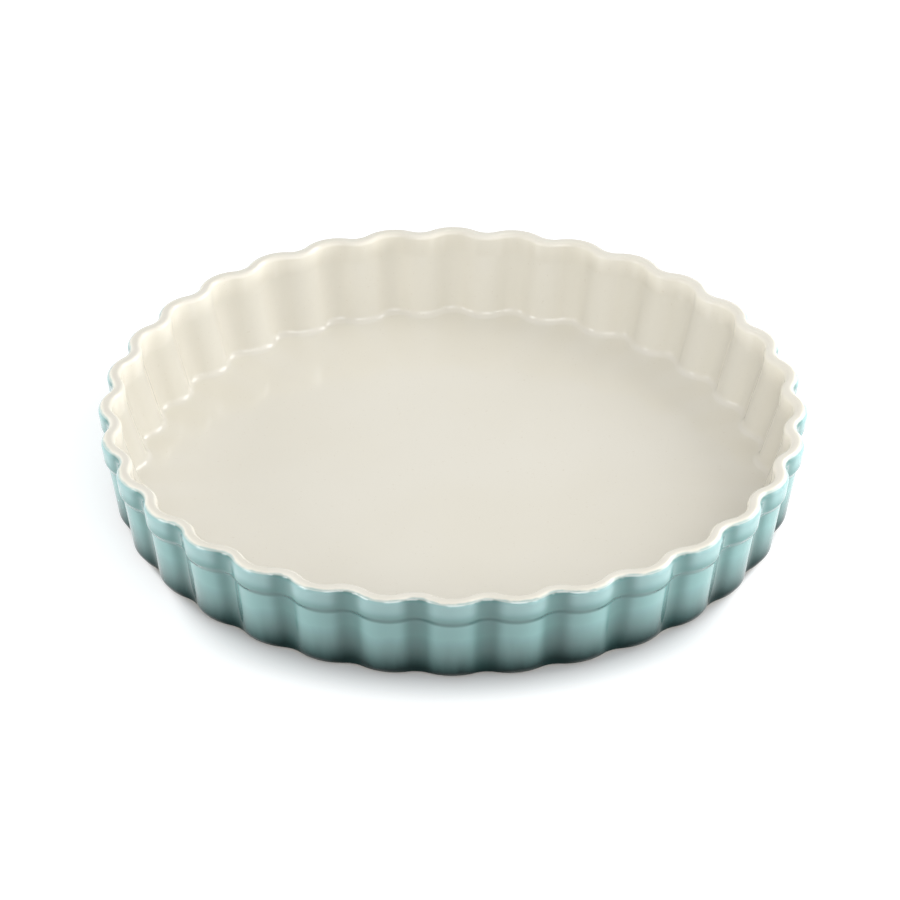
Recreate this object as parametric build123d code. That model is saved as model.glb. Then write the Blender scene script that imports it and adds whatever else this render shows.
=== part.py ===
from build123d import *
import math
import os

# Fluted quiche dish of glazed stoneware: one clay body with three fired-on glaze coats.
# Millimetres, +Z up. The origin is the centre of the dish on the table, under the foot ring,
# and one outer crest of the flutes points to -Y.

# Overall size of the finished dish, across the outer crests and from the table to the lip
overall_diameter = 285.0
overall_height = 40.0
glaze_thickness = 0.4

# Flutes: the share of each half flute that the crest arc takes, seen from outside
flute_count = 32
flute_depth = 3.8
outer_crest_share = 0.66

# Outer wall below the collar, the collar and the soft step between them (leans in degrees from upright)
outer_wall_lean = 9.4
collar_height = 9.5
collar_lean = 8.0
step_inset = 1.6
step_height = 2.4
step_round = 4.0
trough_base_round = 3.2
foot_scallop = 0.6

# Lip: its roundings as shares of its width, and how far down its outer rounding the cream glaze laps
lip_width = 5.6
lip_outer_round_share = 0.45
lip_inner_round_share = 0.38
cream_lap_share = 0.28

# Inside: the flutes get deeper and their grooves narrower towards the floor
floor_height = 6.0
inner_wall_lean = 16.0
inner_upper_height = 9.0
inner_upper_lean = 5.0
inner_bend_round = 10.0
floor_fillet = 3.5
floor_flute_depth = 4.4
lip_groove_share = 0.5
floor_groove_share = 0.4

# Foot ring, the recess inside it, and what the glaze leaves bare
foot_ring_width = 6.0
recess_depth = 1.2
recess_round = 0.6
bare_foot_height = 1.0
bare_recess_margin = 1.5

# The most that a rounding takes of a run between two roundings, and that each rounding takes of the lip
rounding_reach_share = 0.45
lip_outer_reach_share = 0.55
lip_inner_reach_share = 0.42

# Sections of a skin in each rounding, and the steps of the exact line that they are taken from
sections_per_round = 10
steps_per_round = 60
least_section_share = 0.3

# One overrun for all cuts
overrun = 2.0

crest_radius = overall_diameter / 2
half_flute = math.pi / flute_count
lip_outer_round = lip_width * lip_outer_round_share
lip_inner_round = lip_width * lip_inner_round_share
cream_line = overall_height - lip_outer_round * cream_lap_share
# How far a rounding of 1 between the wall and the underside reaches back along either of them
base_back = math.tan((math.pi / 2 - math.radians(outer_wall_lean)) / 2)


def slope(lean):
    """Outward run of a wall per unit of height."""
    return math.tan(math.radians(lean))


def roundings(corners, shift, steps):
    """Points (radius, height) along each rounded corner of a wall line, as one list per corner.

    corners holds (radius, height, rounding) from the low end to the high end. The whole line is moved by
    shift towards its right-hand side, which is outwards on a run that climbs.
    """
    headings = []
    lengths = []
    for (r0, z0, _), (r1, z1, _) in zip(corners, corners[1:]):
        headings.append(math.atan2(z1 - z0, r1 - r0))
        lengths.append(math.hypot(r1 - r0, z1 - z0))
    room = [length * rounding_reach_share for length in lengths]
    room[0] = lengths[0]
    room[-1] = lengths[-1]
    arcs = []
    for i in range(1, len(corners) - 1):
        r, z, rounding = corners[i]
        turn = headings[i] - headings[i - 1]
        if turn == 0:
            continue
        side = math.copysign(1, turn)
        # A rounding is limited by the runs on either side of it
        back = min(rounding * math.tan(abs(turn) / 2), room[i - 1], room[i])
        rounding = back / math.tan(abs(turn) / 2)
        start_r = r - back * math.cos(headings[i - 1])
        start_z = z - back * math.sin(headings[i - 1])
        centre_r = start_r - side * rounding * math.sin(headings[i - 1])
        centre_z = start_z + side * rounding * math.cos(headings[i - 1])
        reach = shift + side * rounding
        arc = []
        for j in range(steps + 1):
            heading = headings[i - 1] + turn * j / steps
            arc.append((centre_r + reach * math.sin(heading), centre_z - reach * math.cos(heading)))
        arcs.append(arc)
    return arcs


def radius_at(line, height):
    """Radius of a climbing wall line at a height."""
    if height <= line[0][1]:
        return line[0][0]
    for (r0, z0), (r1, z1) in zip(line, line[1:]):
        if height <= z1:
            return r0 + (r1 - r0) * (height - z0) / (z1 - z0)
    return line[-1][0]


def arc_edge(centre_radius, centre_angle, radius, start, sweep, height):
    """Short level arc as one cubic curve, which keeps the skins light, with its centre about the axis."""
    centre = Vector(centre_radius * math.cos(centre_angle), centre_radius * math.sin(centre_angle), height)
    handle = radius * math.tan(sweep / 4) * 4 / 3
    points = []
    for angle, side in ((start, 1), (start + sweep, -1)):
        outwards = Vector(math.cos(angle), math.sin(angle))
        along = Vector(-math.sin(angle), math.cos(angle))
        end = centre + outwards * radius
        points.append([end, end + along * handle * side])
    return Edge.make_bezier(points[0][0], points[0][1], points[1][1], points[1][0])


def scallop(crest, trough, crest_share, height):
    """Closed wire of tangent arcs: one crest and one trough arc per flute, with a crest at -Y."""
    depth = crest - trough
    pitch = (crest + trough) * half_flute
    both_arcs = pitch**2 / (8 * depth) + depth / 2
    trough_arc = both_arcs * (1 - crest_share)
    trough_centre = trough + trough_arc
    across = trough_centre * math.cos(half_flute)
    crest_arc = crest**2 + trough_centre**2 - trough_arc**2 - 2 * crest * across
    crest_arc = crest_arc / (2 * (crest + trough_arc - across))
    crest_centre = crest - crest_arc
    # The two arcs meet on the line between their centres, at this heading from the crest's own middle
    run_x = across - crest_centre
    run_y = trough_centre * math.sin(half_flute)
    turn = math.atan2(run_y, run_x)
    edges = []
    for i in range(flute_count):
        middle = 2 * half_flute * i - math.pi / 2
        back = middle + turn + math.pi
        edges.append(arc_edge(crest_centre, middle, crest_arc, middle - turn, 2 * turn, height))
        sweep = 2 * (half_flute - turn)
        edges.append(arc_edge(trough_centre, middle + half_flute, trough_arc, back, sweep, height))
    return Wire(edges)


def split_at(heights, cuts):
    """Lists of section heights that meet at the cuts, without the sections that lie too near to one."""
    for cut in cuts:
        low = [height for height in heights if height < cut]
        high = [height for height in heights if height > cut]
        if low and high:
            near = (high[0] - low[-1]) * least_section_share
            if len(low) > 1 and cut - low[-1] < near:
                low.pop()
            if len(high) > 1 and high[0] - cut < near:
                high.pop(0)
            return [low + [cut], [cut] + high]
    return [heights]


def skin_bands(crest_corners, trough_corners, shift, shares, cuts):
    """Bands of fluted wires up a skin, one per rounding and per straight run, as one list between cuts.

    shares holds the crest's share of each half flute at the low and at the high end of the skin.
    """
    stretches = []
    for arc in roundings(crest_corners, shift, sections_per_round):
        heights = [height for _, height in arc]
        if stretches:
            stretches += split_at([stretches[-1][-1], heights[0]], cuts)
        stretches += split_at(heights, cuts)
    crest_line = sum(roundings(crest_corners, shift, steps_per_round), [])
    trough_line = sum(roundings(trough_corners, shift, steps_per_round), [])
    bottom = stretches[0][0]
    top = stretches[-1][-1]
    bands = [[]]
    for heights in stretches:
        wires = []
        for height in heights:
            share = shares[0] + (shares[1] - shares[0]) * (height - bottom) / (top - bottom)
            crest = radius_at(crest_line, height)
            trough = radius_at(trough_line, height)
            wires.append(scallop(crest, trough, share, height))
        if heights[0] in cuts:
            bands.append([])
        bands[-1].append(wires)
    return bands


def outer_corners(inset, base_round):
    """Corners of the glazed outer wall line: underside, wall, step, collar and the top of the lip."""
    lean = math.radians(collar_lean)
    # The collar leans out, so its corner lies a little beyond the widest point of the lip's rounding
    beyond = lip_outer_round * (math.tan((math.pi / 2 + lean) / 2) * math.sin(lean) - 1 + math.cos(lean))
    step_top = overall_height - collar_height
    step_bottom = step_top - step_height
    underside = -glaze_thickness
    lip_edge = crest_radius + beyond - inset
    collar_bottom = lip_edge - collar_height * slope(collar_lean)
    wall_top = collar_bottom - step_inset
    wall_bottom = wall_top - (step_bottom - underside) * slope(outer_wall_lean)
    return [
        (wall_bottom - 2 * base_round, underside, 0),
        (wall_bottom, underside, base_round),
        (wall_top, step_bottom, step_round),
        (collar_bottom, step_top, step_round),
        (lip_edge, overall_height, lip_outer_round),
        (lip_edge - lip_width * lip_outer_reach_share, overall_height, 0),
    ]


def cavity_corners(lip_inset, floor_inset):
    """Corners of the glazed inner wall line: floor, wall, upper wall and the top of the lip."""
    bend = overall_height - inner_upper_height
    lip_edge = crest_radius - lip_width - lip_inset
    wall_top = lip_edge - inner_upper_height * slope(inner_upper_lean)
    wall_bottom = wall_top + lip_inset - (bend - floor_height) * slope(inner_wall_lean) - floor_inset
    return [
        (wall_bottom - 2 * floor_fillet, floor_height, 0),
        (wall_bottom, floor_height, floor_fillet),
        (wall_top, bend, inner_bend_round),
        (lip_edge, overall_height, lip_inner_round),
        (lip_edge + lip_width * lip_inner_reach_share, overall_height, 0),
    ]


def outside_bands(under):
    """Bands of the bare foot, of the green wall and of the lip, at a depth under the glazed surface."""
    # The crests round in further than the troughs, down to one nearly round ring
    crest_base_round = trough_base_round + (flute_depth - foot_scallop) / base_back
    crests = outer_corners(0, crest_base_round)
    troughs = outer_corners(flute_depth, trough_base_round)
    shares = (outer_crest_share, outer_crest_share)
    return skin_bands(crests, troughs, -under, shares, (bare_foot_height, cream_line))


def inside_bands(under):
    """Bands of the inner wall from the floor to the lip, at a depth under the glazed surface."""
    grooves = cavity_corners(0, 0)
    ribs = cavity_corners(flute_depth, floor_flute_depth)
    return skin_bands(grooves, ribs, under, (floor_groove_share, lip_groove_share), ())[0]


def closed_solid(bands, faces):
    """Solid closed by lofted bands of wires and by the faces at their ends."""
    shells = [Shell.make_loft(wires, len(wires) == 2) for wires in bands]
    return Solid(Shell(sum([shell.faces() for shell in shells], list(faces))))


def inside_levels(lip, inside):
    """Level faces of the inside: the top of the lip and the floor."""
    return [Face(lip[-1][-1], [inside[-1][-1]]), Face(inside[0][0])]


def disc(radius, low, high):
    """Upright disc between two heights."""
    return Solid.make_cylinder(radius, high - low, Plane((0, 0, low)))


def foot_inner_radius():
    """Inner radius of the foot ring, measured in from the troughs of the flat underside."""
    wall_bottom = outer_corners(flute_depth, trough_base_round)[1][0]
    return wall_bottom - trough_base_round * base_back - foot_ring_width


def make_stoneware_body():
    """Fired clay: foot, wall, lip and floor, with a shallow recess inside the foot ring."""
    foot, green, lip = outside_bands(glaze_thickness)
    inside = inside_bands(glaze_thickness)
    levels = [Face(foot[0][0])] + inside_levels(lip, inside)
    clay = closed_solid(foot + green + lip + inside, levels)
    recess = disc(foot_inner_radius(), -overrun, recess_depth)
    top_edge = recess.edges().filter_by(GeomType.CIRCLE).sort_by(Axis.Z)[-1]
    return clay - recess.fillet(recess_round, [top_edge])


def make_inner_glaze():
    """Cream glaze over the floor and the inner wall, and over the lip out to the change of colour."""
    bands = []
    levels = []
    edges = []
    for under in (0, glaze_thickness):
        lip = outside_bands(under)[2]
        inside = inside_bands(under)
        bands += lip + inside
        levels += inside_levels(lip, inside)
        edges.append(lip[0][0])
    return closed_solid(bands, levels + [Face(edges[0], [edges[1]])])


def make_outer_glaze():
    """Green glaze over the outer wall, from the bare foot up to the change of colour."""
    surface = outside_bands(0)[1]
    back = outside_bands(glaze_thickness)[1]
    ends = [Face(surface[0][0], [back[0][0]]), Face(surface[-1][-1], [back[-1][-1]])]
    return closed_solid(surface + back, ends)


def make_base_glaze():
    """Green glaze inside the recess of the underside."""
    radius = foot_inner_radius() - bare_recess_margin
    return disc(radius, recess_depth - glaze_thickness, recess_depth)


def main():
    parts = {
        "stoneware_body": make_stoneware_body(),
        "inner_glaze": make_inner_glaze(),
        "outer_glaze": make_outer_glaze(),
        "base_glaze": make_base_glaze(),
    }
    os.makedirs("parts", exist_ok=True)
    for name, shape in parts.items():
        export_step(shape, f"parts/{name}.step")


main()
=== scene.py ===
import math

import bpy
import numpy as np
from mathutils import Matrix, Vector


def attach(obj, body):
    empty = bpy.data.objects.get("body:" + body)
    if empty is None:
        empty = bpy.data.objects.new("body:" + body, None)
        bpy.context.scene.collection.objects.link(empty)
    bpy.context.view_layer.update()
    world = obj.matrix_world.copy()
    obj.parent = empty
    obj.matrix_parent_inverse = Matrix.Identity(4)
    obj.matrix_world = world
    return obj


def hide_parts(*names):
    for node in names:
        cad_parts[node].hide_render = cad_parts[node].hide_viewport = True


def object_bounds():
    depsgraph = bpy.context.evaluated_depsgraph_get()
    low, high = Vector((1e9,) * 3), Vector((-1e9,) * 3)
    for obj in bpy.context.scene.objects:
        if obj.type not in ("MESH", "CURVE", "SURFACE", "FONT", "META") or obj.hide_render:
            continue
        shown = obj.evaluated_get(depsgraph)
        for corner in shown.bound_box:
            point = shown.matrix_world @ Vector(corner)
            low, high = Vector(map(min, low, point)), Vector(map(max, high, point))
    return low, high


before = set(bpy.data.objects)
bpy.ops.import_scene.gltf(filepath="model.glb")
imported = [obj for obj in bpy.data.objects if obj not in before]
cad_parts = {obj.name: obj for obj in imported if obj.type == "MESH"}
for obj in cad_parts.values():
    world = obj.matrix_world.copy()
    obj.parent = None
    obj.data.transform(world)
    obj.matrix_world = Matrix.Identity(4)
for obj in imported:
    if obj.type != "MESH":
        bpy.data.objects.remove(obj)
cad_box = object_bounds()

MM = 0.001

# Overall size, from the frame, and the sizes of the finished dish
DISH_LOW, DISH_HIGH = cad_box
CAD_BOX_MARGIN = 0.03 * MM
CREST_RADIUS = min(DISH_HIGH[0], -DISH_LOW[0], DISH_HIGH[1], -DISH_LOW[1]) - CAD_BOX_MARGIN
HEIGHT = DISH_HIGH[2]
GLAZE = 0.4 * MM

FLUTES = 32
FLUTE_DEPTH = 3.8 * MM
CREST_SHARE = 0.66
HALF_FLUTE = math.pi / FLUTES

WALL_LEAN = math.radians(9.4)
COLLAR_HEIGHT = 9.5 * MM
COLLAR_LEAN = math.radians(8.0)
STEP_INSET = 1.6 * MM
STEP_HEIGHT = 2.4 * MM
STEP_ROUND = 4.0 * MM
STEP_TOP = HEIGHT - COLLAR_HEIGHT
STEP_BOTTOM = STEP_TOP - STEP_HEIGHT
TROUGH_BASE_ROUND = 3.2 * MM
FOOT_SCALLOP = 0.6 * MM

LIP_WIDTH = 5.6 * MM
LIP_OUTER_ROUND = 0.45 * LIP_WIDTH
LIP_INNER_ROUND = 0.38 * LIP_WIDTH
LIP_OUTER_REACH = 0.55 * LIP_WIDTH
LIP_INNER_REACH = 0.42 * LIP_WIDTH
ROUNDING_REACH_SHARE = 0.45
CREAM_LINE_SHARE = 0.28
CREAM_LINE = HEIGHT - CREAM_LINE_SHARE * LIP_OUTER_ROUND

FLOOR_HEIGHT = 6.0 * MM
INNER_LEAN = math.radians(16.0)
INNER_UPPER_HEIGHT = 9.0 * MM
INNER_UPPER_LEAN = math.radians(5.0)
INNER_BEND_ROUND = 10.0 * MM
FLOOR_FILLET = 3.5 * MM
FLOOR_FLUTE_DEPTH = 4.4 * MM
LIP_GROOVE_SHARE = 0.5
FLOOR_GROOVE_SHARE = 0.4

FOOT_RING_WIDTH = 6.0 * MM
FOOT_EDGE_WIDTH = 0.3 * MM
FOOT_EDGE_HEIGHT = 0.3 * MM
FOOT_EDGE_MIDDLE_WIDTH = 0.06 * MM
FOOT_EDGE_MIDDLE_HEIGHT = 0.1 * MM
RECESS_DEPTH = 1.2 * MM
RECESS_ROUND = 0.6 * MM
BARE_FOOT = 1.0 * MM
BARE_RECESS_MARGIN = 1.5 * MM

# Mesh fineness
COLUMNS_PER_FLUTE = 24
COLUMNS = FLUTES * COLUMNS_PER_FLUTE
ROWS_PER_ROUND = 9
LINE_POINTS_PER_ROUND = 8 * ROWS_PER_ROUND
ROW_SPACING = 1.5 * MM
FLOOR_ROWS = 40
BASE_ROWS = 12
FOOT_FACE_ROWS = 6
QUARTER_ROUND_STEPS = 4

# Level faces close to the centre at this share of their outline, and the trough tone fades by this power on the way
CENTRE_SHARE = 0.02
TROUGH_FADE_POWER = 6


def rounded_line(corners, shift, steps):
    """Points (radius, height) of a wall line with rounded corners, moved by shift to its right-hand side."""
    headings = []
    lengths = []
    for (r0, z0, _), (r1, z1, _) in zip(corners, corners[1:]):
        headings.append(math.atan2(z1 - z0, r1 - r0))
        lengths.append(math.hypot(r1 - r0, z1 - z0))
    room = [length * ROUNDING_REACH_SHARE for length in lengths]
    room[0] = lengths[0]
    room[-1] = lengths[-1]
    points = []
    for i in range(1, len(corners) - 1):
        r, z, rounding = corners[i]
        turn = headings[i] - headings[i - 1]
        side = math.copysign(1, turn)
        back = min(rounding * math.tan(abs(turn) / 2), room[i - 1], room[i])
        rounding = back / math.tan(abs(turn) / 2)
        start_r = r - back * math.cos(headings[i - 1])
        start_z = z - back * math.sin(headings[i - 1])
        centre_r = start_r - side * rounding * math.sin(headings[i - 1])
        centre_z = start_z + side * rounding * math.cos(headings[i - 1])
        reach = shift + side * rounding
        for j in range(steps + 1):
            heading = headings[i - 1] + turn * j / steps
            points.append((centre_r + reach * math.sin(heading), centre_z - reach * math.cos(heading)))
    return np.array(points)


def scallop_radius(angle, crest, trough, crest_share):
    """Radius of the fluted ring at an angle: tangent crest and trough arcs, with a crest at -Y."""
    depth = crest - trough
    pitch = (crest + trough) * HALF_FLUTE
    both_arcs = pitch**2 / (8 * depth) + depth / 2
    trough_arc = both_arcs * (1 - crest_share)
    trough_centre = trough + trough_arc
    crest_arc = crest**2 + trough_centre**2 - trough_arc**2 - 2 * crest * trough_centre * math.cos(HALF_FLUTE)
    crest_arc = crest_arc / (2 * (crest + trough_arc - trough_centre * math.cos(HALF_FLUTE)))
    crest_centre = crest - crest_arc
    along = crest_arc / (crest_arc + trough_arc)
    joint_x = crest_centre + (trough_centre * math.cos(HALF_FLUTE) - crest_centre) * along
    joint_y = trough_centre * math.sin(HALF_FLUTE) * along
    joint_angle = math.atan2(joint_y, joint_x)
    from_crest = np.abs((angle + math.pi / 2 + HALF_FLUTE) % (2 * HALF_FLUTE) - HALF_FLUTE)
    from_trough = HALF_FLUTE - from_crest
    on_crest = crest_arc**2 - (crest_centre * np.sin(from_crest)) ** 2
    on_crest = crest_centre * np.cos(from_crest) + np.sqrt(np.maximum(on_crest, 0))
    on_trough = trough_arc**2 - (trough_centre * np.sin(from_trough)) ** 2
    on_trough = trough_centre * np.cos(from_trough) - np.sqrt(np.maximum(on_trough, 0))
    return np.where(from_crest <= joint_angle, on_crest, on_trough)


def filled(heights):
    """Heights with wide gaps filled in evenly."""
    result = [heights[0]]
    for start, end in zip(heights, heights[1:]):
        parts = max(1, math.ceil((end - start) / ROW_SPACING))
        result += [start + (end - start) * k / parts for k in range(1, parts + 1)]
    return result


def skin_rows(crest_corners, trough_corners, shift, low_share, high_share, low, high):
    """Rows (height, radii, trough share) of a fluted skin between two heights.

    The share of the crest arcs runs from low_share at the bottom of the whole line to high_share at its top.
    """
    coarse = rounded_line(crest_corners, shift, ROWS_PER_ROUND)
    crest_line = rounded_line(crest_corners, shift, LINE_POINTS_PER_ROUND)
    trough_line = rounded_line(trough_corners, shift, LINE_POINTS_PER_ROUND)
    bottom = coarse[0][1]
    top = coarse[-1][1]
    low = max(low, bottom)
    high = min(high, top)
    marks = [low] + [z for z in coarse[:, 1] if low < z < high] + [high]
    rows = []
    for height in filled(marks):
        share = low_share + (high_share - low_share) * (height - bottom) / (top - bottom)
        crest = np.interp(height, crest_line[:, 1], crest_line[:, 0])
        trough = np.interp(height, trough_line[:, 1], trough_line[:, 0])
        radii = scallop_radius(ANGLES, crest, trough, share)
        rows.append((height, radii, (crest - radii) / (crest - trough)))
    return rows


def outer_corners(inset, base_round):
    """Corners of the glazed outer wall line: underside, wall, step, collar and the top of the lip."""
    beyond = math.tan((math.pi / 2 + COLLAR_LEAN) / 2) * math.sin(COLLAR_LEAN) - 1 + math.cos(COLLAR_LEAN)
    lip_edge = CREST_RADIUS + beyond * LIP_OUTER_ROUND - inset
    collar_bottom = lip_edge - COLLAR_HEIGHT * math.tan(COLLAR_LEAN)
    wall_top = collar_bottom - STEP_INSET
    wall_bottom = wall_top - (STEP_BOTTOM + GLAZE) * math.tan(WALL_LEAN)
    return [
        (wall_bottom - 2 * base_round, -GLAZE, 0),
        (wall_bottom, -GLAZE, base_round),
        (wall_top, STEP_BOTTOM, STEP_ROUND),
        (collar_bottom, STEP_TOP, STEP_ROUND),
        (lip_edge, HEIGHT, LIP_OUTER_ROUND),
        (lip_edge - LIP_OUTER_REACH, HEIGHT, 0),
    ]


def cavity_corners(lip_inset, floor_inset):
    """Corners of the glazed inner wall line: floor, wall, upper wall and the top of the lip."""
    bend = HEIGHT - INNER_UPPER_HEIGHT
    lip_edge = CREST_RADIUS - LIP_WIDTH - lip_inset
    wall_top = lip_edge - INNER_UPPER_HEIGHT * math.tan(INNER_UPPER_LEAN)
    wall_bottom = wall_top + lip_inset - (bend - FLOOR_HEIGHT) * math.tan(INNER_LEAN) - floor_inset
    return [
        (wall_bottom - 2 * FLOOR_FILLET, FLOOR_HEIGHT, 0),
        (wall_bottom, FLOOR_HEIGHT, FLOOR_FILLET),
        (wall_top, bend, INNER_BEND_ROUND),
        (lip_edge, HEIGHT, LIP_INNER_ROUND),
        (lip_edge + LIP_INNER_REACH, HEIGHT, 0),
    ]


ANGLES = np.arange(COLUMNS) * 2 * math.pi / COLUMNS
BASE_BACK = math.tan((math.pi / 2 - WALL_LEAN) / 2)
CREST_BASE_ROUND = TROUGH_BASE_ROUND + (FLUTE_DEPTH - FOOT_SCALLOP) / BASE_BACK


def outer_rows(shift, low, high):
    """Rows of the outer wall between two heights, moved inwards where shift is negative."""
    crests = outer_corners(0, CREST_BASE_ROUND)
    troughs = outer_corners(FLUTE_DEPTH, TROUGH_BASE_ROUND)
    return skin_rows(crests, troughs, shift, CREST_SHARE, CREST_SHARE, low, high)


def inner_rows():
    """Rows of the inner wall, from the floor to the top of the lip."""
    grooves = cavity_corners(0, 0)
    ribs = cavity_corners(FLUTE_DEPTH, FLOOR_FLUTE_DEPTH)
    return skin_rows(grooves, ribs, 0, FLOOR_GROOVE_SHARE, LIP_GROOVE_SHARE, 0, HEIGHT)


def foot_inner_radius():
    """Radius of the inner edge of the foot ring, set by the troughs."""
    wall_bottom = outer_corners(FLUTE_DEPTH, TROUGH_BASE_ROUND)[1][0]
    return wall_bottom - TROUGH_BASE_ROUND * BASE_BACK - FOOT_RING_WIDTH


def ring_mesh(name, rows, closed_to_centre=False, line_row=0):
    """Mesh of quads through rows of (height, radii, trough share), all the way round, with smooth normals.

    The vertices carry how deep they lie in a trough, and their distance along the profile from one row.
    """
    points = np.zeros((len(rows), COLUMNS, 3))
    trough = np.zeros((len(rows), COLUMNS))
    for i, (height, radii, share) in enumerate(rows):
        points[i, :, 0] = radii * np.cos(ANGLES)
        points[i, :, 1] = radii * np.sin(ANGLES)
        points[i, :, 2] = height
        trough[i] = share
    steps = np.linalg.norm(np.diff(points, axis=0), axis=2)
    along = np.vstack([np.zeros((1, COLUMNS)), np.cumsum(steps, axis=0)])
    along = np.abs(along - along[line_row])
    verts = points.reshape(-1, 3).tolist()
    trough = trough.ravel().tolist()
    along = along.ravel().tolist()
    faces = []
    for i in range(len(rows) - 1):
        for j in range(COLUMNS):
            k = (j + 1) % COLUMNS
            faces.append((i * COLUMNS + j, i * COLUMNS + k, (i + 1) * COLUMNS + k, (i + 1) * COLUMNS + j))
    if closed_to_centre:
        last = (len(rows) - 1) * COLUMNS
        verts.append((0.0, 0.0, float(rows[-1][0])))
        trough.append(0.0)
        along.append(max(along))
        for j in range(COLUMNS):
            faces.append((last + j, last + (j + 1) % COLUMNS, len(verts) - 1))
    mesh = bpy.data.meshes.new(name)
    mesh.from_pydata(verts, [], faces)
    mesh.polygons.foreach_set("use_smooth", [True] * len(mesh.polygons))
    mesh.attributes.new("trough", "FLOAT", "POINT").data.foreach_set("value", trough)
    mesh.attributes.new("from_line", "FLOAT", "POINT").data.foreach_set("value", along)
    mesh.update()
    obj = bpy.data.objects.new(name, mesh)
    bpy.context.scene.collection.objects.link(obj)
    return obj


def flat_rows(height, outer_radii, outer_trough, count):
    """Rows on a level face, from an outline inwards almost to the centre."""
    rows = []
    for k in range(1, count + 1):
        share = 1 + (CENTRE_SHARE - 1) * k / count
        rows.append((height, outer_radii * share, outer_trough * (1 - k / count) ** TROUGH_FADE_POWER))
    return rows


def plain_row(height, radius):
    """Row of one round ring."""
    return (height, np.full(COLUMNS, radius), np.zeros(COLUMNS))


def quarter_round(first):
    """Shares of the radius gone along and across, step by step round a quarter turn, from the given step on."""
    turns = [math.pi / 2 * k / QUARTER_ROUND_STEPS for k in range(first, QUARTER_ROUND_STEPS + 1)]
    return [(math.sin(turn), 1 - math.cos(turn)) for turn in turns]


def make_inner_glaze():
    lip = outer_rows(0, CREAM_LINE, HEIGHT)
    wall = inner_rows()[::-1]
    floor = flat_rows(FLOOR_HEIGHT, wall[-1][1], wall[-1][2], FLOOR_ROWS)
    return ring_mesh("inner_glaze_skin", lip + wall + floor, closed_to_centre=True)


def make_outer_glaze():
    wall = outer_rows(0, BARE_FOOT + GLAZE, CREAM_LINE)
    # The coat ends in a quarter-round bead on the clay
    height, radii, trough = wall[0]
    bead = [(height - GLAZE * down, radii - GLAZE * inwards, trough) for down, inwards in quarter_round(1)]
    return ring_mesh("outer_glaze_skin", bead[::-1] + wall, line_row=-1)


def make_stoneware_foot():
    """Bare foot ring, up to the glaze outside and to the recess inside."""
    rows = outer_rows(-GLAZE, 0, BARE_FOOT + GLAZE)[::-1]
    ring_inner = foot_inner_radius()
    outer_edge = rows[-1][1]
    inner_edge = ring_inner + FOOT_EDGE_WIDTH
    for k in range(FOOT_FACE_ROWS - 1, 0, -1):
        rows.append((0, inner_edge + (outer_edge - inner_edge) * k / FOOT_FACE_ROWS, np.zeros(COLUMNS)))
    rows.append(plain_row(0, inner_edge))
    rows.append(plain_row(FOOT_EDGE_MIDDLE_HEIGHT, ring_inner + FOOT_EDGE_MIDDLE_WIDTH))
    rows.append(plain_row(FOOT_EDGE_HEIGHT, ring_inner))
    rows.append(plain_row(RECESS_DEPTH - RECESS_ROUND, ring_inner))
    for up, inwards in quarter_round(1):
        rows.append(plain_row(RECESS_DEPTH - RECESS_ROUND * (1 - up), ring_inner - RECESS_ROUND * inwards))
    rows.append(plain_row(RECESS_DEPTH, ring_inner - BARE_RECESS_MARGIN - GLAZE))
    return ring_mesh("stoneware_foot_ring", rows)


def make_base_glaze():
    radius = foot_inner_radius() - BARE_RECESS_MARGIN
    rows = [plain_row(RECESS_DEPTH - GLAZE * down, radius - GLAZE * inwards) for down, inwards in quarter_round(0)]
    rows += flat_rows(RECESS_DEPTH - GLAZE, rows[-1][1], rows[-1][2], BASE_ROWS)
    return ring_mesh("base_glaze_skin", rows, closed_to_centre=True)


NOISE_ROUGHNESS = 0.55


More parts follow.
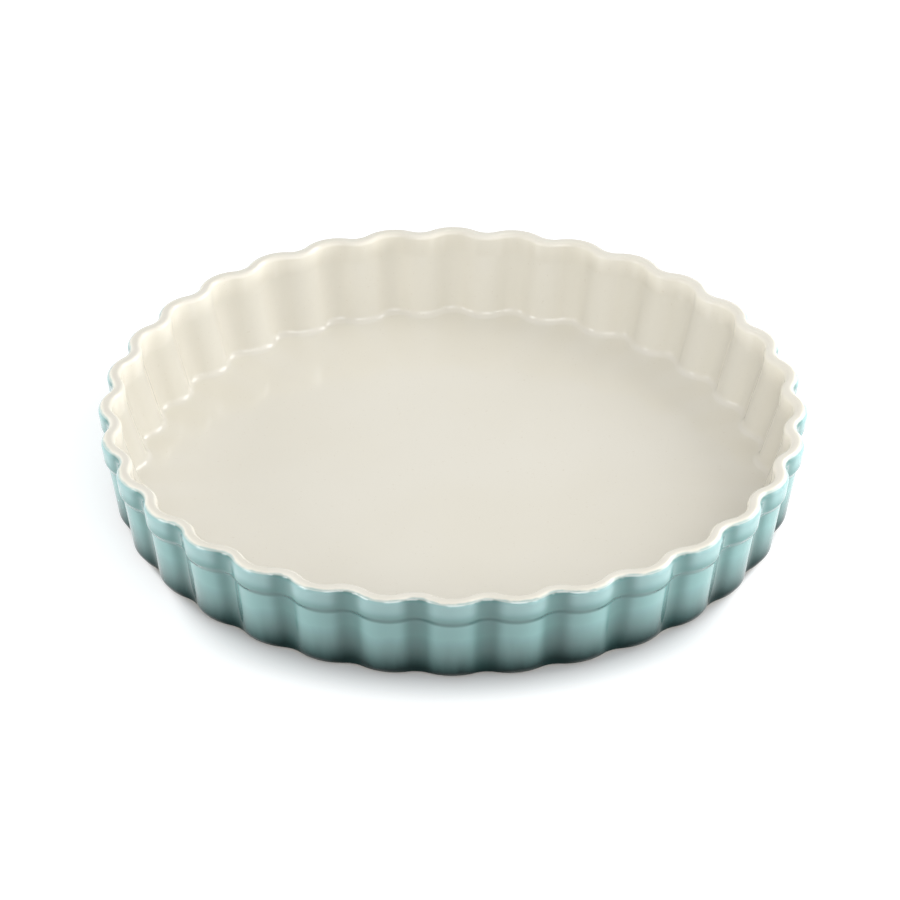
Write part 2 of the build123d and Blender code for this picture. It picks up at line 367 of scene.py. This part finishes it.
class Nodes:
    """Small helper for one material's nodes."""

    def __init__(self, name):
        self.material = bpy.data.materials.new(name)
        self.material.use_nodes = True
        self.tree = self.material.node_tree
        self.bsdf = self.tree.nodes["Principled BSDF"]
        self.place = self.add("ShaderNodeTexCoord").outputs["Object"]

    def add(self, kind, **settings):
        node = self.tree.nodes.new(kind)
        for key, value in settings.items():
            setattr(node, key, value)
        return node

    def link(self, source, target):
        self.tree.links.new(source, target)

    def height(self):
        split = self.add("ShaderNodeSeparateXYZ")
        self.link(self.place, split.inputs[0])
        return split.outputs["Z"]

    def attribute(self, name):
        return self.add("ShaderNodeAttribute", attribute_name=name).outputs["Fac"]

    def noise(self, scale, detail, stretch=None):
        """Noise of so many waves a metre, about."""
        place = self.place
        if stretch:
            mapping = self.add("ShaderNodeMapping")
            mapping.inputs["Scale"].default_value = stretch
            self.link(place, mapping.inputs["Vector"])
            place = mapping.outputs[0]
        texture = self.add("ShaderNodeTexNoise")
        texture.inputs["Scale"].default_value = scale
        texture.inputs["Detail"].default_value = detail
        texture.inputs["Roughness"].default_value = NOISE_ROUGHNESS
        self.link(place, texture.inputs["Vector"])
        return texture.outputs["Fac"]

    def ramp(self, value, low, high, start, end, smooth=True):
        """Map a value from one range to another, clamped."""
        node = self.add("ShaderNodeMapRange", interpolation_type="SMOOTHSTEP" if smooth else "LINEAR")
        node.inputs["From Min"].default_value = low
        node.inputs["From Max"].default_value = high
        node.inputs["To Min"].default_value = start
        node.inputs["To Max"].default_value = end
        self.link(value, node.inputs["Value"])
        return node.outputs[0]

    def sum(self, *values):
        total = values[0]
        for value in values[1:]:
            node = self.add("ShaderNodeMath", operation="ADD")
            self.link(total, node.inputs[0])
            self.link(value, node.inputs[1])
            total = node.outputs[0]
        return total

    def mix(self, factor, first, second):
        """Mix two colours, each a socket or a tuple."""
        node = self.add("ShaderNodeMix", data_type="RGBA")
        for socket, value in ((node.inputs["Factor"], factor), (node.inputs["A"], first), (node.inputs["B"], second)):
            self.put(socket, value)
        return node.outputs["Result"]

    def put(self, socket, value):
        """Set an input to a number or a colour, or link it to an output."""
        if isinstance(value, bpy.types.NodeSocket):
            self.link(value, socket)
        elif isinstance(value, tuple):
            socket.default_value = (*value, 1)
        else:
            socket.default_value = value

    def bump(self, *layers):
        """Chain bump nodes, each from (height, distance)."""
        normal = None
        for height, distance in layers:
            node = self.add("ShaderNodeBump")
            node.inputs["Distance"].default_value = distance
            self.link(height, node.inputs["Height"])
            if normal:
                self.link(normal, node.inputs["Normal"])
            normal = node.outputs["Normal"]
        self.link(normal, self.bsdf.inputs["Normal"])


# Colours of the glazes and the clay
CREAM = (0.805, 0.775, 0.69)
# Darker, warmer cream: random cloudy patches, and in the grooves partly painted shade
CREAM_DEEP_AND_SHADE = (0.74, 0.695, 0.57)
CREAM_SPECK = (0.52, 0.43, 0.3)
GREEN = (0.18, 0.35, 0.34)
GREEN_CLOUD = (0.155, 0.315, 0.305)
# Paler green: where the green shows through at the colour change, and as a painted highlight over the collar
GREEN_PALE_AND_HIGHLIGHT = (0.26, 0.42, 0.42)
# Darker green: pooled glaze in the troughs, and painted shade in the troughs and under the step
GREEN_POOLED_AND_SHADE = (0.055, 0.165, 0.155)
# Near-black green towards the foot: partly the glaze's gradient, partly painted shade near the floor
GREEN_FOOT_AND_SHADE = (0.006, 0.022, 0.021)
CLAY = (0.60, 0.51, 0.39)
CLAY_DARK = (0.50, 0.41, 0.30)
CLAY_SPECK = (0.25, 0.17, 0.11)
CLAY_RUBBED = (0.42, 0.39, 0.35)

# How the two glazes run into each other at the colour change
CREAM_EDGE_WIDTH = 1.3 * MM
CREAM_EDGE_WANDER = 0.6 * MM
GREEN_EDGE_WIDTH = 0.7 * MM

# Heights between which the tone of the green wall changes: a painted highlight over the collar, a band of painted
# shade under the step, and darkening towards the foot, partly glaze and partly painted shade
PAINTED_COLLAR_HIGHLIGHT = (STEP_TOP - 0.5 * MM, STEP_TOP + 6.5 * MM)
PAINTED_STEP_SHADE_LOW = (STEP_BOTTOM - 0.9 * MM, STEP_BOTTOM + 0.3 * MM)
PAINTED_STEP_SHADE_HIGH = (STEP_TOP - 0.5 * MM, STEP_TOP + 4.5 * MM)
FOOT_GRADIENT_AND_SHADE = (3.0 * MM, 21.0 * MM)
FOOT_DARKENING_WANDER = 1.5 * MM
COAT_RISE = (4.0 * MM, 15.0 * MM)
GLOSS_RISE = (2.0 * MM, 13.0 * MM)
RUBBED_HEIGHT = 0.3 * MM

# Gloss of the glazes, each an index of refraction or a weight
CREAM_IOR = 1.6
GREEN_IOR = 1.7
GREEN_COAT_IOR = 1.6
GREEN_COAT = 0.4
GREEN_COAT_ROUGHNESS = 0.03
GREEN_GLOSS = 0.45
GREEN_GLOSS_AT_FOOT = 0.06
GREEN_GLOSS_OF_BASE = 0.5

# Depth of the bumps: broad waves in the glaze, fine ones, and the grain of the clay
GLAZE_WAVE = 0.06 * MM
GLAZE_RIPPLE = 0.006 * MM
CLAY_GRAIN = 0.05 * MM
CLAY_WAVE = 0.06 * MM


def make_cream_material():
    n = Nodes("cream_glaze")
    # The grooves are a little darker and warmer, partly thicker glaze and partly painted shade, and broad cloudy
    # patches and specks vary the tone
    colour = n.mix(n.ramp(n.attribute("trough"), 0.0, 0.8, 0.15, 0.0), CREAM, CREAM_DEEP_AND_SHADE)
    colour = n.mix(n.ramp(n.noise(14, 2), 0.35, 0.7, 0.0, 0.22), colour, CREAM_DEEP_AND_SHADE)
    colour = n.mix(n.ramp(n.noise(900, 1), 0.7, 0.78, 0.0, 0.16), colour, CREAM_SPECK)
    # The green shows through along the colour change, in a line that wanders
    wander = n.ramp(n.noise(160, 2), 0.3, 0.7, 0.0, CREAM_EDGE_WANDER)
    edge = n.ramp(n.sum(n.attribute("from_line"), wander), 0.0, CREAM_EDGE_WIDTH, 0.85, 0.0)
    colour = n.mix(edge, colour, GREEN_PALE_AND_HIGHLIGHT)
    n.put(n.bsdf.inputs["Base Color"], colour)
    n.put(n.bsdf.inputs["Roughness"], n.ramp(n.noise(45, 3), 0.3, 0.7, 0.05, 0.10))
    n.put(n.bsdf.inputs["IOR"], CREAM_IOR)
    n.bump((n.noise(55, 2), GLAZE_WAVE), (n.noise(420, 2), GLAZE_RIPPLE))
    return n.material


def make_green_material(name, wall):
    """Green glaze. On the wall its tone and gloss change with the height and the depth in a trough."""
    n = Nodes(name)
    height = n.height()
    colour = n.mix(n.ramp(n.noise(22, 3), 0.3, 0.7, 0.0, 0.25), GREEN, GREEN_CLOUD)
    coat = GREEN_COAT
    gloss = GREEN_GLOSS_OF_BASE
    if wall:
        # The collar is painted paler as a highlight; the troughs are darker, partly pooled glaze and partly painted
        # shade; the band under the step is painted shade; and the foot is darker, partly glaze and partly painted
        # shade
        # Painted highlight: the collar is painted paler
        colour = n.mix(n.ramp(height, *PAINTED_COLLAR_HIGHLIGHT, 0.0, 0.8), colour, GREEN_PALE_AND_HIGHLIGHT)
        # Partly pooled glaze, partly painted shade: the troughs are darker
        colour = n.mix(n.ramp(n.attribute("trough"), 0.25, 0.95, 0.0, 0.90), colour, GREEN_POOLED_AND_SHADE)
        # Painted shade: a darker band under the step
        step = n.mix(n.ramp(height, *PAINTED_STEP_SHADE_LOW, 0.0, 0.65), (0, 0, 0), (1, 1, 1))
        step = n.mix(n.ramp(height, *PAINTED_STEP_SHADE_HIGH, 0.0, 1.0), step, (0, 0, 0))
        colour = n.mix(step, colour, GREEN_POOLED_AND_SHADE)
        # Darker towards the foot: partly the glaze's own gradient, partly painted shade near the floor
        runs = n.ramp(n.noise(60, 3, stretch=(1, 1, 0.12)), 0.3, 0.7, -FOOT_DARKENING_WANDER, FOOT_DARKENING_WANDER)
        foot = n.ramp(n.sum(height, runs), *FOOT_GRADIENT_AND_SHADE, 1.0, 0.0, smooth=False)
        colour = n.mix(foot, colour, GREEN_FOOT_AND_SHADE)
        edge = n.ramp(n.attribute("from_line"), 0.0, GREEN_EDGE_WIDTH, 0.45, 0.0)
        colour = n.mix(edge, colour, CREAM)
        # The gloss is duller near the foot, where the glaze thins out above the clay
        coat = n.ramp(height, *COAT_RISE, 0.0, GREEN_COAT)
        gloss = n.ramp(height, *GLOSS_RISE, GREEN_GLOSS_AT_FOOT, GREEN_GLOSS)
    n.put(n.bsdf.inputs["Base Color"], colour)
    n.put(n.bsdf.inputs["Roughness"], n.ramp(n.noise(45, 3), 0.3, 0.7, 0.06, 0.12))
    n.put(n.bsdf.inputs["IOR"], GREEN_IOR)
    n.put(n.bsdf.inputs["Specular IOR Level"], gloss)
    n.put(n.bsdf.inputs["Coat IOR"], GREEN_COAT_IOR)
    n.put(n.bsdf.inputs["Coat Roughness"], GREEN_COAT_ROUGHNESS)
    n.put(n.bsdf.inputs["Coat Weight"], coat)
    n.bump((n.noise(60, 2), GLAZE_WAVE), (n.noise(420, 2), GLAZE_RIPPLE))
    return n.material


def make_clay_material():
    n = Nodes("stoneware_clay")
    colour = n.mix(n.ramp(n.noise(70, 4), 0.3, 0.7, 0.0, 0.6), CLAY, CLAY_DARK)
    colour = n.mix(n.ramp(n.noise(1500, 2), 0.62, 0.70, 0.0, 0.7), colour, CLAY_SPECK)
    # The standing face is rubbed a little greyer than the rest
    colour = n.mix(n.ramp(n.height(), 0.0, RUBBED_HEIGHT, 0.4, 0.0), colour, CLAY_RUBBED)
    n.put(n.bsdf.inputs["Base Color"], colour)
    n.put(n.bsdf.inputs["Roughness"], n.ramp(n.noise(200, 3), 0.3, 0.7, 0.7, 0.9))
    n.bump((n.noise(1200, 4), CLAY_GRAIN), (n.noise(150, 2), CLAY_WAVE))
    return n.material


def dress(obj, node, material):
    """Give a piece its material, hang it under the root body, and hide the solid that it stands in for."""
    obj.data.materials.append(material)
    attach(obj, "root")
    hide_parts(node)


dress(make_inner_glaze(), "inner_glaze", make_cream_material())
dress(make_outer_glaze(), "outer_glaze", make_green_material("green_glaze_wall", wall=True))
dress(make_stoneware_foot(), "stoneware_body", make_clay_material())
dress(make_base_glaze(), "base_glaze", make_green_material("green_glaze_base", wall=False))


# Studio: the floor, and where its glow starts and is full, as distances from the middle of the dish. Both change
# between two places along Y, from the front of the dish to its sides and back
FLOOR_HALF_SIZE = 4.0
FLOOR_COLOUR = (0.585, 0.60, 0.61)
FLOOR_GLOW = 0.6
# Nearer the dish than these the glow fades out: painted shade round the dish, deepest at the front, on top of its
# real shadow
GLOW_FRONT_Y = -130.0 * MM
GLOW_SIDE_Y = -65.0 * MM
GLOW_START_FRONT = 125.0 * MM
GLOW_START_SIDE = 130.5 * MM
GLOW_FULL_FRONT = 158.0 * MM
GLOW_FULL_SIDE = 134.0 * MM

# Strength of the soft light from above, at the horizon and from halfway up to overhead
SKY_AT_HORIZON = 0.2
SKY_OVERHEAD = 0.80
SKY_FULL_FROM = 0.5


def make_floor():
    """Pale table. Its glow, seen by camera and mirror rays, fades out towards the dish: that keeps its real shadow
    and paints more shade round it, deepest at the front.
    """
    half = FLOOR_HALF_SIZE
    mesh = bpy.data.meshes.new("floor")
    mesh.from_pydata([(-half, -half, 0), (half, -half, 0), (half, half, 0), (-half, half, 0)], [], [(0, 1, 2, 3)])
    floor = bpy.data.objects.new("floor", mesh)
    bpy.context.scene.collection.objects.link(floor)
    n = Nodes("floor_white")
    n.tree.nodes.remove(n.bsdf)
    diffuse = n.add("ShaderNodeBsdfDiffuse")
    n.put(diffuse.inputs["Color"], FLOOR_COLOUR)
    glow = n.add("ShaderNodeEmission")
    path = n.add("ShaderNodeLightPath")
    seen = n.add("ShaderNodeMath", operation="MAXIMUM")
    n.link(path.outputs["Is Camera Ray"], seen.inputs[0])
    n.link(path.outputs["Is Glossy Ray"], seen.inputs[1])
    reach = n.add("ShaderNodeVectorMath", operation="LENGTH")
    n.link(n.place, reach.inputs[0])
    split = n.add("ShaderNodeSeparateXYZ")
    n.link(n.place, split.inputs[0])
    # Painted shade: the glow fades out near the dish
    away = n.add("ShaderNodeMapRange", interpolation_type="SMOOTHSTEP")
    n.link(reach.outputs["Value"], away.inputs["Value"])
    start = n.ramp(split.outputs["Y"], GLOW_FRONT_Y, GLOW_SIDE_Y, GLOW_START_FRONT, GLOW_START_SIDE)
    full = n.ramp(split.outputs["Y"], GLOW_FRONT_Y, GLOW_SIDE_Y, GLOW_FULL_FRONT, GLOW_FULL_SIDE)
    n.link(start, away.inputs["From Min"])
    n.link(full, away.inputs["From Max"])
    n.put(away.inputs["To Max"], FLOOR_GLOW)
    lift = n.add("ShaderNodeMath", operation="MULTIPLY")
    n.link(seen.outputs[0], lift.inputs[0])
    n.link(away.outputs[0], lift.inputs[1])
    n.link(lift.outputs[0], glow.inputs["Strength"])
    both = n.add("ShaderNodeAddShader")
    n.link(diffuse.outputs[0], both.inputs[0])
    n.link(glow.outputs[0], both.inputs[1])
    n.link(both.outputs[0], n.tree.nodes["Material Output"].inputs["Surface"])
    mesh.materials.append(n.material)


def make_world():
    """Soft light from above, weaker towards the horizon, with plain white for camera and mirror rays."""
    world = bpy.data.worlds.new("studio")
    bpy.context.scene.world = world
    world.use_nodes = True
    nodes = world.node_tree.nodes
    links = world.node_tree.links
    nodes.clear()
    out = nodes.new("ShaderNodeOutputWorld")
    back = nodes.new("ShaderNodeBackground")
    path = nodes.new("ShaderNodeLightPath")
    seen = nodes.new("ShaderNodeMath")
    seen.operation = "MAXIMUM"
    links.new(path.outputs["Is Camera Ray"], seen.inputs[0])
    links.new(path.outputs["Is Glossy Ray"], seen.inputs[1])
    place = nodes.new("ShaderNodeTexCoord")
    split = nodes.new("ShaderNodeSeparateXYZ")
    links.new(place.outputs["Generated"], split.inputs[0])
    sky = nodes.new("ShaderNodeMapRange")
    sky.inputs["From Min"].default_value = 0.0
    sky.inputs["From Max"].default_value = SKY_FULL_FROM
    sky.inputs["To Min"].default_value = SKY_AT_HORIZON
    sky.inputs["To Max"].default_value = SKY_OVERHEAD
    links.new(split.outputs["Z"], sky.inputs["Value"])
    mix = nodes.new("ShaderNodeMix")
    links.new(seen.outputs[0], mix.inputs["Factor"])
    links.new(sky.outputs[0], mix.inputs["A"])
    mix.inputs["B"].default_value = 1.0
    links.new(mix.outputs["Result"], back.inputs["Strength"])
    links.new(back.outputs[0], out.inputs["Surface"])


def soft_box(name, place, width, height, share, lights=True, mirrored=True):
    """Soft box that faces the dish. Its share is the radiance of white card that it alone lights there.

    A box that lights only, or is only mirrored, shapes the gloss apart from the light.
    """
    lamp = bpy.data.lights.new(name, "AREA")
    lamp.shape = "RECTANGLE"
    lamp.size = width
    lamp.size_y = height
    lamp.energy = share * math.pi**2 * Vector(place).length_squared
    obj = bpy.data.objects.new(name, lamp)
    obj.location = place
    obj.visible_diffuse = lights
    obj.visible_glossy = mirrored
    obj.rotation_euler = (-Vector(place)).to_track_quat("-Z", "Y").to_euler()
    bpy.context.scene.collection.objects.link(obj)


# Camera, fitted to the outlines of the dish in the picture
FRAME_PIXELS = 900
FOCAL_PIXELS = 6175
AXIS_PIXEL_X = 452.6
AXIS_PIXEL_Y = 489.2
CAMERA_DISTANCE = 2.5
CAMERA_ELEVATION = math.radians(33.1)
CAMERA_ROLL = 0.004
SENSOR_WIDTH = 36
FAR_CLIP = 20


def make_camera():
    data = bpy.data.cameras.new("camera")
    camera = bpy.data.objects.new("camera", data)
    bpy.context.scene.collection.objects.link(camera)
    back = CAMERA_DISTANCE * math.cos(CAMERA_ELEVATION)
    camera.location = (0, -back, CAMERA_DISTANCE * math.sin(CAMERA_ELEVATION))
    turn = Matrix.Rotation(math.pi / 2 - CAMERA_ELEVATION, 3, "X") @ Matrix.Rotation(CAMERA_ROLL, 3, "Z")
    camera.rotation_euler = turn.to_euler()
    data.sensor_width = SENSOR_WIDTH
    data.lens = SENSOR_WIDTH * FOCAL_PIXELS / FRAME_PIXELS
    data.shift_x = (FRAME_PIXELS / 2 - AXIS_PIXEL_X) / FRAME_PIXELS
    data.shift_y = (AXIS_PIXEL_Y - FRAME_PIXELS / 2) / FRAME_PIXELS
    data.clip_end = FAR_CLIP
    bpy.context.scene.camera = camera


make_floor()
make_world()
soft_box("key", (1.15, 0.55, 0.82), width=0.8, height=0.8, share=0.33)
soft_box("right", (1.4, -0.2, 0.35), width=0.9, height=0.5, share=0.10)
soft_box("right_low", (1.2, -0.10, 0.045), width=1.0, height=0.08, share=1.08, mirrored=False)
soft_box("side", (1.1, -1.0, 0.60), width=0.34, height=0.30, share=0.06)
soft_box("window", (-1.3, -0.55, 0.55), width=0.32, height=0.28, share=0.13, mirrored=False)
soft_box("window_glint", (-1.3, -0.65, 0.60), width=0.60, height=0.50, share=0.14, lights=False)
soft_box("left_low", (-1.2, -0.10, 0.045), width=1.0, height=0.08, share=0.82, mirrored=False)
soft_box("front", (0.25, -1.45, 1.05), width=1.2, height=0.8, share=0.26)
make_camera()
bpy.context.scene.view_settings.view_transform = "Standard"
